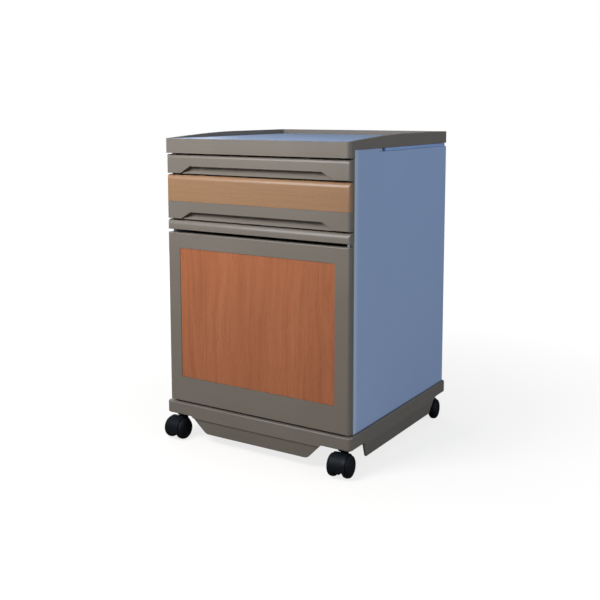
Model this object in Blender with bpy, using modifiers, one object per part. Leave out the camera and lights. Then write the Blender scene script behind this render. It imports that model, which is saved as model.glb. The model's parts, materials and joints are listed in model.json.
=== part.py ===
"""Hospital bedside cabinet on four twin-wheel casters.

Metres, +Z up. The front faces -Y, and the origin is on the floor under the middle of the cabinet.
A moulded top tray and a moulded base tray hold two laminated side panels and a back panel.
From the top down, the front has a pull-out dining board, a drawer, a fixed mid rail and a door.
"""

import math

import bmesh
import bpy
from mathutils import Euler, Matrix, Vector

# Clearances and facets.
GAP = 0.0003  # between pieces that touch
BORE_PLAY = 0.0003  # between a pin and its bore, on the radius
ARC_STEPS = 5  # facets in a quarter turn of an outline's corner
WHEEL_STEPS = 24  # facets round a wheel
PIN_STEPS = 12  # facets round a pin, bore or bush
OVERSHOOT = 0.004  # how far a cutter passes the face that it opens

# Base tray: a band all round, with an apron hanging from each side.
BASE_Z = 0.0605  # its underside above the floor
BASE_HALF = 0.2515
BASE_CORNER = 0.010
BAND_TOP = BASE_Z + 0.0284
BAND_EDGE = 0.0025
BASE_WALL = 0.005
BASE_PLATE = 0.004
APRON_DROP = 0.0377
APRON_STEP = 0.002  # from the band's face back to the apron's, at the band's underside
APRON_INSET = 0.007  # the same at the apron's lower edge
APRON_THICK = 0.0040
APRON_ROOT = 0.007  # how far an apron reaches up into the band
APRON_BROW = 0.0035  # how far the band's face runs down over each apron
APRON_SPANS = {  # half-lengths at the top and bottom, and the radii at their ends
    "front": (0.177, 0.1395, 0.007, 0.020),
    "side": (0.188, 0.168, 0.012, 0.004),
}

# Heights of the fronts, each as (lower edge, upper edge).
DOOR_Z = (BASE_Z + 0.0325, BASE_Z + 0.4359)
MID_RAIL_Z = (BASE_Z + 0.4435, BASE_Z + 0.4661)
DRAWER_Z = (BASE_Z + 0.4690, BASE_Z + 0.5713)
FASCIA_Z = BASE_Z + 0.5095  # lower edge of the drawer's wooden fascia
BOARD_Z = (BASE_Z + 0.5746, BASE_Z + 0.6178)
FRONT_Y = (-0.2458, -0.2263)  # front and back planes of every front
FRONT_HALF = 0.2443
FRONT_CORNER = 0.006
RECESS_HEIGHT = 0.017
RECESS_HALF = (0.2045, 0.176)  # half-widths of a finger recess, at its lower and upper edges
RECESS_DEPTH = (0.002, 0.012)

# Top tray: a slab with a deeper front lip, and rims that rise towards the back.
TRAY_HALF = (0.24565, 0.24955)
TRAY_CORNER = 0.009
LIP_Z = BASE_Z + 0.6212
LIP_BACK_Y = -0.2275
SKIRT_Z = BASE_Z + 0.6378  # underside of the slab
DECK_Z = BASE_Z + 0.6546
RIM_Z = BASE_Z + 0.6660
RIM_WIDTH = 0.0095
RISE_END_Y = 0.030
INLAY_DEPTH = 0.0020
INLAY_BORDER = 0.0015

# Carcass.
PANEL_X = (0.2323, 0.2443)  # inner and outer faces of the side panels
PANEL_Y = (-0.2255, 0.2465)
BACK_Y = (0.2355, 0.2435)
POST_SIZE = 0.018
DIVIDER_Z = (BASE_Z + 0.4515, BASE_Z + 0.4595)
SHELF_Z = (BASE_Z + 0.2300, BASE_Z + 0.2420)
SHELF_HALF = 0.2298
SHELF_Y = (-0.1950, 0.2160)
SHELF_PIN_Y = 0.150
SHELF_PIN_R = 0.0025

# Drawer and dining board.
SLIDE_REAR_Y = 0.190
DRAWER_BOX_HALF = 0.2180
DRAWER_BOX_Z = (BASE_Z + 0.4740, BASE_Z + 0.5560)
DRAWER_WALL = 0.004
RUNNER_Z = BASE_Z + 0.5050
BOARD_MID_Z = BASE_Z + 0.6000
BOARD_HALF = 0.2285
BOARD_THICK = 0.012
GUIDE_Y = (-0.2200, 0.2100)

# Door.
HINGE = (0.2360, -0.2375)
HINGE_REAR_CORNER = 0.0083
DOOR_PIN_R = 0.003
DOOR_PIN_DEPTH = 0.012
WOOD_HALF = 0.2085
WOOD_Z = (BASE_Z + 0.0919, BASE_Z + 0.4005)
WOOD_RECESS = 0.001
WOOD_THICK = 0.005
WOOD_LEDGE = 0.010
LINER_MARGIN = 0.020
LINER_THICK = 0.0018
CATCH_Z = (BASE_Z + 0.380, BASE_Z + 0.420)

# Towel arm in a rebate along the top edge of the right side panel.
REBATE_Y = -0.1125
REBATE_X = 0.2355
REBATE_Z = BASE_Z + 0.6298
ARM_TIP_Y = -0.0850
ARM_X = (0.2361, 0.2441)
ARM_Z = (REBATE_Z + 0.0006, SKIRT_Z - 0.0006)
ARM_PIVOT = (0.2401, 0.2360)
ARM_PIN_R = 0.0018
BUTTON_Y = -0.1075
BUTTON_R = 0.0032

# Casters: turn about a vertical stem, with the wheels' axle trailing behind it.
STEM_X, STEM_Y = 0.2225, 0.2235
STEM_R = 0.005
SOCKET_R = 0.0072
TRAIL = 0.022
WHEEL_R = 0.025
WHEEL_INNER = 0.0062  # from the caster's middle plane to a wheel's inner face
WHEEL_OUTER = 0.0284
AXLE_R = 0.003
HOOD_R = 0.0275
HOOD_TOP = 0.0565
HOOD_SHELL = 0.0019
BOSS_FOOT = 0.0475
SPIGOT_R = 0.0035  # the stem's thin lower end, which fits between the wheels
SPIGOT_FOOT = 0.0340
CASTER_TURNS = {  # degrees from trailing towards the front
    "front_left": 0,
    "front_right": 8,
    "rear_left": 176,
    "rear_right": 8,
}

# Extrusion planes: the world axes that an outline's u and v run along.
PLANES = {
    "XY": Euler((0, 0, 0)),
    "XZ": Euler((math.pi / 2, 0, 0)),
    "YZ": Euler((math.pi / 2, 0, math.pi / 2)),
}

# Colour, roughness and metallic of each material.
MATERIALS = {
    "taupe_abs": ((0.199, 0.175, 0.147), 0.45, 0.0),
    "blue_laminate": ((0.360, 0.490, 0.728), 0.40, 0.0),
    "door_wood": ((0.400, 0.130, 0.054), 0.45, 0.0),
    "maple_wood": ((0.362, 0.206, 0.107), 0.45, 0.0),
    "white_abs": ((0.620, 0.610, 0.580), 0.50, 0.0),
    "grey_laminate": ((0.480, 0.480, 0.470), 0.45, 0.0),
    "steel": ((0.560, 0.570, 0.580), 0.30, 1.0),
    "aluminium": ((0.335, 0.455, 0.790), 0.35, 1.0),
    "clear_nylon": ((0.650, 0.640, 0.600), 0.50, 0.0),
    "black_nylon": ((0.005, 0.007, 0.011), 0.50, 0.0),
    "black_tyre": ((0.005, 0.007, 0.011), 0.55, 0.0),
}


def new_collection(name):
    collection = bpy.data.collections.new(name)
    bpy.context.scene.collection.children.link(collection)
    return collection


for old in list(bpy.data.objects):
    bpy.data.objects.remove(old)
PARTS = new_collection("bedside_cabinet")
CUTTERS = new_collection("cutters")


def material(slot):
    """The Principled material of a slot, made on first use."""
    if slot not in bpy.data.materials:
        colour, roughness, metallic = MATERIALS[slot]
        made = bpy.data.materials.new(slot)
        made.use_nodes = True
        shader = made.node_tree.nodes["Principled BSDF"]
        shader.inputs["Base Color"].default_value = (*colour, 1)
        shader.inputs["Roughness"].default_value = roughness
        shader.inputs["Metallic"].default_value = metallic
    return bpy.data.materials[slot]


def place(name, mesh, slot, location=(0, 0, 0)):
    """A named part in its material."""
    part = bpy.data.objects.new(name, mesh)
    part.location = location
    PARTS.objects.link(part)
    if not mesh.materials:
        mesh.materials.append(material(slot))
    return part


def cutter(name, mesh, location=(0, 0, 0)):
    """A helper that shapes other parts and is left out of the object."""
    helper = bpy.data.objects.new(name, mesh)
    helper.location = location
    helper.hide_render = True
    helper.display_type = "WIRE"
    CUTTERS.objects.link(helper)
    return helper


def combine(part, operation, *helpers, solver="EXACT"):
    """Adds a Boolean of each helper to the part."""
    for helper in helpers:
        modifier = part.modifiers.new(helper.name, "BOOLEAN")
        modifier.operation = operation
        modifier.solver = solver
        modifier.object = helper
    return part


def soften(part, width, segments=1, angle=40):
    """Rounds the part's sharp edges."""
    modifier = part.modifiers.new("edges", "BEVEL")
    modifier.width = width
    modifier.segments = segments
    modifier.limit_method = "ANGLE"
    modifier.angle_limit = math.radians(angle)
    return part


def baked(part):
    """The part's evaluated mesh, with the part and its helpers removed."""
    helpers = [m.object for m in part.modifiers if m.type == "BOOLEAN"]
    graph = bpy.context.evaluated_depsgraph_get()
    mesh = bpy.data.meshes.new_from_object(part.evaluated_get(graph))
    for used in [part, *helpers]:
        bpy.data.objects.remove(used)
    return mesh


def box_mesh(name, low, high):
    """A box about its own middle, and where that middle belongs."""
    low, high = Vector(low), Vector(high)
    shape = bmesh.new()
    bmesh.ops.create_cube(shape, size=1.0)
    bmesh.ops.scale(shape, vec=high - low, verts=shape.verts)
    mesh = bpy.data.meshes.new(name)
    shape.to_mesh(mesh)
    shape.free()
    return mesh, (low + high) / 2


def box(name, slot, low, high, edge=0.0008):
    mesh, middle = box_mesh(name, low, high)
    return soften(place(name, mesh, slot, middle), edge)


def box_cutter(name, low, high):
    return cutter(name, *box_mesh(name, low, high))


def rounded(corners):
    """The points of a polygon whose corners, given as (u, v, radius), are arcs."""
    points = []
    for index, (u, v, radius) in enumerate(corners):
        corner = Vector((u, v))
        if not radius:
            points.append(corner)
            continue
        before = (Vector(corners[index - 1][:2]) - corner).normalized()
        after = (Vector(corners[(index + 1) % len(corners)][:2]) - corner).normalized()
        half = before.angle(after) / 2
        centre = corner + (before + after).normalized() * radius / math.sin(half)
        start = corner + before * radius / math.tan(half) - centre
        end = corner + after * radius / math.tan(half) - centre
        first = math.atan2(start.y, start.x)
        turn = (math.atan2(end.y, end.x) - first + math.pi) % math.tau - math.pi
        steps = max(2, round(ARC_STEPS * abs(turn) / (math.pi / 2)))
        for step in range(steps + 1):
            angle = first + turn * step / steps
            points.append(centre + radius * Vector((math.cos(angle), math.sin(angle))))
    return points


def rectangle(low, high, radius=0.0):
    return rounded([(low[0], low[1], radius), (high[0], low[1], radius),
                    (high[0], high[1], radius), (low[0], high[1], radius)])


def outline_mesh(name, points, thickness, plane):
    """A closed outline extruded by half the thickness to each side of its plane."""
    curve = bpy.data.curves.new(name, "CURVE")
    curve.dimensions = "2D"
    curve.fill_mode = "BOTH"
    curve.extrude = thickness / 2
    spline = curve.splines.new("POLY")
    spline.points.add(len(points) - 1)
    for point, (u, v) in zip(spline.points, points):
        point.co = (u, v, 0, 1)
    spline.use_cyclic_u = True
    guide = cutter(name, curve)
    graph = bpy.context.evaluated_depsgraph_get()
    mesh = bpy.data.meshes.new_from_object(guide.evaluated_get(graph))
    bpy.data.objects.remove(guide)
    shape = bmesh.new()
    shape.from_mesh(mesh)
    bmesh.ops.remove_doubles(shape, verts=shape.verts, dist=0.00001)
    bmesh.ops.recalc_face_normals(shape, faces=shape.faces)
    shape.to_mesh(mesh)
    shape.free()
    mesh.transform(PLANES[plane].to_matrix().to_4x4())
    return mesh


def turned_mesh(name, profile, steps=PIN_STEPS):
    """A profile of (radius, height) points, from the top down its outer side, turned about Z."""
    mesh = bpy.data.meshes.new(name)
    edges = [(index, index + 1) for index in range(len(profile) - 1)]
    mesh.from_pydata([(radius, 0, height) for radius, height in profile], edges, [])
    part = place(name, mesh, "steel")
    screw = part.modifiers.new("turn", "SCREW")
    screw.steps = screw.render_steps = steps
    screw.use_merge_vertices = True
    screw.merge_threshold = 0.00001
    screw.use_smooth_shade = True
    turned = baked(part)
    turned.materials.clear()
    turned.set_sharp_from_angle(angle=math.radians(35))
    return turned


def pin_mesh(name, radius, low, high):
    return turned_mesh(name, [(0, high), (radius, high), (radius, low), (0, low)])


def bore(name, radius, low, high, position):
    """A cutter for a vertical round hole at a position in plan."""
    return cutter(name, pin_mesh(name, radius, low, high), (*position, 0))


def pivot(name, location, turn=0.0):
    """An empty on a joint's axis, which carries the pieces that move there."""
    empty = bpy.data.objects.new(name, None)
    empty.location = location
    empty.rotation_euler.z = math.radians(turn)
    empty.empty_display_size = 0.03
    PARTS.objects.link(empty)
    return empty


def hang(empty, *parts):
    """Parents parts that are already in place to an unturned empty."""
    for part in parts:
        part.parent = empty
        part.matrix_parent_inverse = Matrix.Translation(empty.location).inverted()


# ---------------------------------------------------------------- base and casters

def apron_cutter(side, turn):
    """One side's apron: a trapezium with rounded ends that leans inwards."""
    top_half, bottom_half, flare, foot = APRON_SPANS[side]
    lean = math.atan2(APRON_INSET - APRON_STEP, APRON_DROP)
    drop = APRON_DROP / math.cos(lean)
    corners = [(-bottom_half, -drop, foot), (bottom_half, -drop, foot),
               (top_half, 0, flare), (top_half + 2 * flare, 0, 0),
               (top_half + 2 * flare, APRON_ROOT, 0), (-top_half - 2 * flare, APRON_ROOT, 0),
               (-top_half - 2 * flare, 0, 0), (-top_half, 0, flare)]
    mesh = outline_mesh(f"apron_{side}_{turn}", rounded(corners), APRON_THICK, "XZ")
    mesh.transform(Matrix.Translation((0, APRON_THICK / 2, 0)))
    mesh.transform(Matrix.Rotation(lean, 4, "X"))
    mesh.transform(Matrix.Translation((0, APRON_STEP - BASE_HALF, BASE_Z)))
    mesh.transform(Matrix.Rotation(math.radians(turn), 4, "Z"))
    return cutter(mesh.name, mesh)


def brow_cutter(side, turn):
    """The strip that carries the band's face a little way down over an apron."""
    top_half, bottom_half = APRON_SPANS[side][:2]
    slope = (top_half - bottom_half) / APRON_DROP
    rise = 2 * BAND_EDGE
    foot, head = top_half - slope * APRON_BROW, top_half + slope * rise
    corners = [(-foot, -APRON_BROW), (foot, -APRON_BROW), (head, rise), (-head, rise)]
    mesh = outline_mesh(f"brow_{side}_{turn}", corners, BASE_WALL, "XZ")
    mesh.transform(Matrix.Translation((0, BASE_WALL / 2 - BASE_HALF, BASE_Z)))
    mesh.transform(Matrix.Rotation(math.radians(turn), 4, "Z"))
    return cutter(mesh.name, mesh)


def make_base_tray():
    """The moulded tray: a thin shell, open below, with a boss for each caster's socket."""
    half, height = BASE_HALF, BAND_TOP - BASE_Z
    outline = rectangle((-half, -half), (half, half), BASE_CORNER)
    tray = place("base_tray", outline_mesh("base_tray", outline, height, "XY"), "taupe_abs",
                 (0, 0, BASE_Z + height / 2))
    soften(tray, BAND_EDGE, 3, 60)
    inner = half - BASE_WALL
    hollow = rectangle((-inner, -inner), (inner, inner), BASE_CORNER - BASE_WALL)
    hollow_height = height - BASE_PLATE + OVERSHOOT
    cavity = cutter("base_cavity", outline_mesh("base_cavity", hollow, hollow_height, "XY"),
                    (0, 0, BAND_TOP - BASE_PLATE - hollow_height / 2))
    combine(tray, "DIFFERENCE", cavity)
    for side, turn in (("front", 0), ("side", 90), ("front", 180), ("side", 270)):
        combine(tray, "UNION", apron_cutter(side, turn), brow_cutter(side, turn), solver="MANIFOLD")
    for x in (-STEM_X, STEM_X):
        for y in (-STEM_Y, STEM_Y):
            where = f"{'left' if x < 0 else 'right'}_{'front' if y < 0 else 'rear'}"
            combine(tray, "UNION", bore(f"boss_{where}", 0.0115, BASE_Z + 0.0012,
                                        BAND_TOP - BASE_PLATE / 2, (x, y)))
            combine(tray, "DIFFERENCE", bore(f"boss_bore_{where}", SOCKET_R + GAP, BASE_Z - OVERSHOOT,
                                             BASE_Z + 0.0210, (x, y)))
    combine(tray, "DIFFERENCE", bore("lower_pin_bore", DOOR_PIN_R + BORE_PLAY,
                                     BAND_TOP - BASE_PLATE - OVERSHOOT, BAND_TOP + OVERSHOOT, HINGE))
    return tray


def wheel_mesh():
    """One wheel with its axle's blind bore: a domed outer face, a round tread and a flat inner face."""
    bore_r, bore_end = AXLE_R + BORE_PLAY, WHEEL_OUTER - 0.0044
    outer, inner = WHEEL_OUTER, WHEEL_INNER
    profile = [(0, outer), (0.0100, outer - 0.0002), (0.0160, outer - 0.0010), (0.0205, outer - 0.0026),
               (0.0232, outer - 0.0050), (0.0246, outer - 0.0081), (WHEEL_R, outer - 0.0109),
               (WHEEL_R, inner + 0.0093), (0.0245, inner + 0.0062), (0.0228, inner + 0.0033),
               (0.0200, inner + 0.0012), (0.0165, inner), (bore_r, inner), (bore_r, bore_end),
               (0, bore_end)]
    return turned_mesh("wheel", profile, WHEEL_STEPS)


def hood_mesh():
    """The caster's body: a web between the wheels, a guard over them and a broad boss for the stem."""
    axle = Vector((-TRAIL, WHEEL_R))

    def on_arc(radius, degrees):
        angle = math.radians(degrees)
        return axle + radius * Vector((math.cos(angle), math.sin(angle)))

    half_web = WHEEL_INNER - 0.0005
    web = [on_arc(HOOD_R - 0.0003, degrees) for degrees in range(-20, 206, 15)]
    guard = [on_arc(HOOD_R, degrees) for degrees in range(0, 196, 15)]
    guard += [on_arc(HOOD_R - HOOD_SHELL, degrees) for degrees in range(195, -1, -15)]
    body = place("hood", outline_mesh("hood", web, 2 * half_web, "YZ"), "black_nylon")
    combine(body, "UNION", cutter("guard", outline_mesh("guard", guard, 0.034, "YZ")),
            box_cutter("stem_rib", (-half_web, -0.0100, 0.0200), (half_web, 0.0085, 0.0500)),
            cutter("stem_boss", turned_mesh("stem_boss", [
                (0, HOOD_TOP), (0.0138, HOOD_TOP), (0.0150, HOOD_TOP - 0.0012),
                (0.0150, BOSS_FOOT + 0.0045), (0.0095, BOSS_FOOT + 0.0020), (0.0095, BOSS_FOOT),
                (0, BOSS_FOOT)], WHEEL_STEPS)))
    bore_mesh = pin_mesh("axle_bore", AXLE_R + GAP, -0.02, 0.02)
    bore_mesh.transform(Matrix.Rotation(math.pi / 2, 4, "Y"))
    combine(body, "DIFFERENCE", bore("stem_bore", STEM_R + GAP, BOSS_FOOT, HOOD_TOP + OVERSHOOT, (0, 0)),
            bore("spigot_bore", SPIGOT_R + GAP, SPIGOT_FOOT - GAP, BOSS_FOOT + OVERSHOOT, (0, 0)),
            cutter("axle_bore", bore_mesh, (0, -TRAIL, WHEEL_R)))
    mesh = baked(body)
    mesh.materials.clear()
    return mesh


def make_casters():
    """Four casters: socket in the base, and the stem, hood, axle and two wheels that turn in it."""
    socket = turned_mesh("socket", [
        (SOCKET_R, 0.0200), (SOCKET_R, 0.0009), (0.0120, 0.0009), (0.0120, -0.0012),
        (STEM_R + 2 * BORE_PLAY, -0.0012), (STEM_R + 2 * BORE_PLAY, 0.0200), (SOCKET_R, 0.0200)])
    stem = turned_mesh("stem", [
        (0, BASE_Z + 0.0190), (STEM_R - 0.0008, BASE_Z + 0.0190), (STEM_R, BASE_Z + 0.0180),
        (STEM_R, BOSS_FOOT + GAP), (SPIGOT_R, BOSS_FOOT + GAP), (SPIGOT_R, SPIGOT_FOOT),
        (0, SPIGOT_FOOT)])
    hood, wheel = hood_mesh(), wheel_mesh()
    axle_end = WHEEL_OUTER - 0.0050
    axle = pin_mesh("axle", AXLE_R, -axle_end, axle_end)
    for corner, turn in CASTER_TURNS.items():
        x = STEM_X if "right" in corner else -STEM_X
        y = STEM_Y if "rear" in corner else -STEM_Y
        place(f"{corner}_caster_socket", socket, "clear_nylon", (x, y, BASE_Z))
        swivel = pivot(f"{corner}_swivel", (x, y, 0), turn)
        pieces = [place(f"{corner}_caster_stem", stem, "steel"),
                  place(f"{corner}_caster_hood", hood, "black_nylon"),
                  place(f"{corner}_caster_axle", axle, "steel", (0, -TRAIL, WHEEL_R)),
                  place(f"{corner}_wheel_left", wheel, "black_tyre", (0, -TRAIL, WHEEL_R)),
                  place(f"{corner}_wheel_right", wheel, "black_tyre", (0, -TRAIL, WHEEL_R))]
        for piece in pieces:
            piece.parent = swivel
        for piece, quarter in zip(pieces[2:], (1, -1, 1)):
            piece.rotation_euler.y = quarter * math.pi / 2


# ---------------------------------------------------------------- top tray and carcass

def rim_height(y):
    """The rims' upper edge: level with the deck at the front, easing up to full height."""
    along = min(1.0, (y + TRAY_HALF[1]) / (RISE_END_Y + TRAY_HALF[1]))
    return DECK_Z + (RIM_Z - DECK_Z) * math.sin(along * math.pi / 2)


def make_top_tray():
    """The moulded top, and the laminate deck let into it."""
    half_x, half_y = TRAY_HALF
    outline = rectangle((-half_x, -half_y), (half_x, half_y), TRAY_CORNER)
    tray = place("top_tray", outline_mesh("top_tray", outline, RIM_Z - LIP_Z, "XY"), "taupe_abs",
                 (0, 0, (LIP_Z + RIM_Z) / 2))
    inner_x, inner_y = half_x - RIM_WIDTH, half_y - RIM_WIDTH
    floor = rounded([(-inner_x, -half_y - OVERSHOOT, 0), (inner_x, -half_y - OVERSHOOT, 0),
                     (inner_x, inner_y, 0.006), (-inner_x, inner_y, 0.006)])
    steps = 12
    rise = [(y, rim_height(y)) for y in
            [-half_y + step * (RISE_END_Y + half_y) / steps for step in range(steps + 1)]]
    above = [(RISE_END_Y, RIM_Z + OVERSHOOT), (-half_y - OVERSHOOT, RIM_Z + OVERSHOOT),
             (-half_y - OVERSHOOT, DECK_Z)]
    inlay_x, inlay_y = inner_x - INLAY_BORDER, inner_y - INLAY_BORDER
    combine(
        tray, "DIFFERENCE",
        box_cutter("under_slab", (-0.3, LIP_BACK_Y, LIP_Z - OVERSHOOT), (0.3, 0.3, SKIRT_Z)),
        cutter("above_deck", outline_mesh("above_deck", floor, 0.040, "XY"), (0, 0, DECK_Z + 0.020)),
        cutter("above_rims", outline_mesh("above_rims", rise + above, 0.6, "YZ")),
        box_cutter("inlay_pocket", (-inlay_x, -inlay_y, DECK_Z - INLAY_DEPTH), (inlay_x, inlay_y, 0.8)))
    soften(tray, 0.0018, 2, 35)
    box("deck_panel", "blue_laminate",
        (-inlay_x + GAP, -inlay_y + GAP, DECK_Z - INLAY_DEPTH + GAP),
        (inlay_x - GAP, inlay_y - GAP, DECK_Z), 0.0003)


def make_side_panels():
    """Both side panels. The right one's top edge is rebated for the towel arm."""
    inner, outer = PANEL_X
    low_z, high_z = BAND_TOP + GAP, SKIRT_Z - GAP
    box("left_side_panel", "blue_laminate", (-outer, PANEL_Y[0], low_z), (-inner, PANEL_Y[1], high_z),
        0.0015)
    right = box("right_side_panel", "blue_laminate", (inner, PANEL_Y[0], low_z),
                (outer, PANEL_Y[1], high_z), 0.0015)
    combine(right, "DIFFERENCE",
            box_cutter("arm_rebate", (REBATE_X, REBATE_Y, REBATE_Z), (0.26, 0.26, 0.75)),
            bore("arm_pin_bore", ARM_PIN_R + BORE_PLAY, REBATE_Z - 0.0105, REBATE_Z + OVERSHOOT,
                 ARM_PIVOT))


def make_carcass():
    """Back panel, rear posts, the divider under the drawer, and the shelf on its pins."""
    inner = PANEL_X[0] - GAP
    low_z, high_z = BAND_TOP + GAP, SKIRT_Z - GAP
    box("back_panel", "blue_laminate", (-inner, BACK_Y[0], low_z), (inner, BACK_Y[1], high_z))
    post_y = (BACK_Y[0] - GAP - POST_SIZE, BACK_Y[0] - GAP)
    for side, sign in (("left", -1), ("right", 1)):
        x = sorted((sign * inner, sign * (inner - POST_SIZE)))
        box(f"rear_post_{side}", "aluminium", (x[0], post_y[0], low_z), (x[1], post_y[1], high_z),
            0.0020)
    box("divider_shelf", "grey_laminate", (-inner, FRONT_Y[1] + GAP, DIVIDER_Z[0]),
        (inner, post_y[0] - GAP, DIVIDER_Z[1]))
    box("inner_shelf", "grey_laminate", (-SHELF_HALF, SHELF_Y[0], SHELF_Z[0]),
        (SHELF_HALF, SHELF_Y[1], SHELF_Z[1]), 0.0010)
    pin = turned_mesh("shelf_pin", [
        (0, 0), (0.0045, 0), (0.0045, -0.0016), (SHELF_PIN_R, -0.0016), (SHELF_PIN_R, -0.0110),
        (0, -0.0115)])
    for side, sign in (("left", -1), ("right", 1)):
        for end, y in (("front", -SHELF_PIN_Y), ("rear", SHELF_PIN_Y)):
            peg = place(f"shelf_pin_{side}_{end}", pin, "clear_nylon",
                        (sign * inner, y, SHELF_Z[0] - SHELF_PIN_R - GAP))
            peg.rotation_euler.y = sign * math.pi / 2


# ---------------------------------------------------------------- fronts

def front_solid(name, slot, z, top_radius):
    """A full-width front whose upper front edge is rounded, with rounded front corners."""
    section = rounded([(FRONT_Y[1], z[0], 0), (FRONT_Y[1], z[1], 0), (FRONT_Y[0], z[1], top_radius),
                       (FRONT_Y[0], z[0], 0.0015)])
    front = place(name, outline_mesh(name, section, 2 * FRONT_HALF, "YZ"), slot)
    return combine(front, "DIFFERENCE", *FRONT_CORNERS)


def corner_cutters():
    """Plan-view cutters for the two rounded vertical corners that all the fronts share."""
    helpers = []
    low_z, high_z = BAND_TOP, LIP_Z
    for side, sign in (("left", -1), ("right", 1)):
        arc = []
        for step in range(ARC_STEPS + 1):
            angle = step / ARC_STEPS * math.pi / 2
            arc.append((sign * (FRONT_HALF - FRONT_CORNER * (1 - math.cos(angle))),
                        FRONT_Y[0] + FRONT_CORNER * (1 - math.sin(angle))))
        outside = sign * (FRONT_HALF + OVERSHOOT)
        arc += [(arc[-1][0], FRONT_Y[0] - OVERSHOOT), (outside, FRONT_Y[0] - OVERSHOOT),
                (outside, arc[0][1])]
        mesh = outline_mesh(f"front_corner_{side}", arc, high_z - low_z, "XY")
        helpers.append(cutter(mesh.name, mesh, (0, 0, (low_z + high_z) / 2)))
    return helpers


def finger_recess(name, low_z):
    """A wedge-shaped cutter for a recess along a front's lower edge, deepest at its top."""
    shape = bmesh.new()
    bmesh.ops.create_cube(shape, size=2.0)
    for vert in shape.verts:
        sign_x, sign_y, sign_z = vert.co
        height = RECESS_HEIGHT if sign_z > 0 else -0.002
        share = height / RECESS_HEIGHT
        half = RECESS_HALF[0] + (RECESS_HALF[1] - RECESS_HALF[0]) * share
        depth = RECESS_DEPTH[0] + (RECESS_DEPTH[1] - RECESS_DEPTH[0]) * share
        y = FRONT_Y[0] + (depth if sign_y > 0 else -OVERSHOOT)
        vert.co = (sign_x * half, y, low_z + height)
    mesh = bpy.data.meshes.new(name)
    shape.to_mesh(mesh)
    shape.free()
    return cutter(name, mesh)


def make_mid_rail():
    rail = front_solid("mid_rail", "taupe_abs", MID_RAIL_Z, 0.0125)
    combine(rail, "DIFFERENCE", bore("upper_pin_bore", DOOR_PIN_R + BORE_PLAY,
                                     MID_RAIL_Z[0] - OVERSHOOT, MID_RAIL_Z[0] + 0.0095, HINGE))


def channel(name, inner_x, sign, mid_z, slot_half, wall):
    """A C-shaped guide fixed to a side panel, open towards the middle of the cabinet."""
    web, back = 0.002, PANEL_X[0] - GAP
    half = slot_half + wall
    section = [(inner_x, -half), (back, -half), (back, half), (inner_x, half), (inner_x, slot_half),
               (back - web, slot_half), (back - web, -slot_half), (inner_x, -slot_half)]
    section = [(sign * x, z) for x, z in section]
    mesh = outline_mesh(name, section, GUIDE_Y[1] - GUIDE_Y[0], "XZ")
    return place(name, mesh, "steel", (0, sum(GUIDE_Y) / 2, mid_z))


def make_drawer():
    """The drawer: moulded box, front with a wooden fascia, side runners and their channels."""
    front = front_solid("drawer_front", "taupe_abs", DRAWER_Z, 0.0120)
    combine(front, "DIFFERENCE", finger_recess("drawer_recess", DRAWER_Z[0]))
    fascia_back = FRONT_Y[0] + 0.0115
    behind = box_cutter("fascia_seat", (-0.3, -0.3, FASCIA_Z), (0.3, fascia_back, 0.8))
    combine(front, "DIFFERENCE", behind)
    fascia = front_solid("drawer_fascia", "maple_wood", DRAWER_Z, 0.0120)
    combine(fascia, "INTERSECT",
            box_cutter("fascia_space", (-0.3, -0.3, FASCIA_Z + GAP), (0.3, fascia_back - GAP, 0.8)))
    half, low_y = DRAWER_BOX_HALF, FRONT_Y[1] + GAP
    tub = box("drawer_box", "white_abs", (-half, low_y, DRAWER_BOX_Z[0]),
              (half, SLIDE_REAR_Y, DRAWER_BOX_Z[1]), 0.0020)
    combine(tub, "DIFFERENCE", box_cutter(
        "drawer_space", (-half + DRAWER_WALL, low_y + DRAWER_WALL, DRAWER_BOX_Z[0] + DRAWER_WALL),
        (half - DRAWER_WALL, SLIDE_REAR_Y - DRAWER_WALL, DRAWER_BOX_Z[1] + OVERSHOOT)))
    runners = []
    for side, sign in (("left", -1), ("right", 1)):
        x = sorted((sign * (half + GAP), sign * 0.2290))
        runners.append(box(f"drawer_runner_{side}", "steel", (x[0], -0.2100, RUNNER_Z - 0.005),
                           (x[1], SLIDE_REAR_Y, RUNNER_Z + 0.005), 0.0010))
        channel(f"drawer_channel_{side}", 0.2210, sign, RUNNER_Z, 0.0065, 0.003)
    hang(pivot("drawer_slide", (0, FRONT_Y[0], RUNNER_Z)), front, fascia, tub, *runners)


def make_dining_board():
    """The pull-out board, its front and the guides that its edges run in."""
    front = front_solid("board_front", "taupe_abs", BOARD_Z, 0.0080)
    combine(front, "DIFFERENCE", finger_recess("board_recess", BOARD_Z[0]))
    board = box("dining_board", "grey_laminate",
                (-BOARD_HALF, FRONT_Y[1] + GAP, BOARD_MID_Z - BOARD_THICK / 2),
                (BOARD_HALF, SLIDE_REAR_Y, BOARD_MID_Z + BOARD_THICK / 2), 0.0015)
    for side, sign in (("left", -1), ("right", 1)):
        channel(f"board_guide_{side}", 0.2190, sign, BOARD_MID_Z, BOARD_THICK / 2 + 0.0008, 0.003)
    hang(pivot("board_slide", (0, FRONT_Y[0], BOARD_MID_Z)), front, board)


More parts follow.
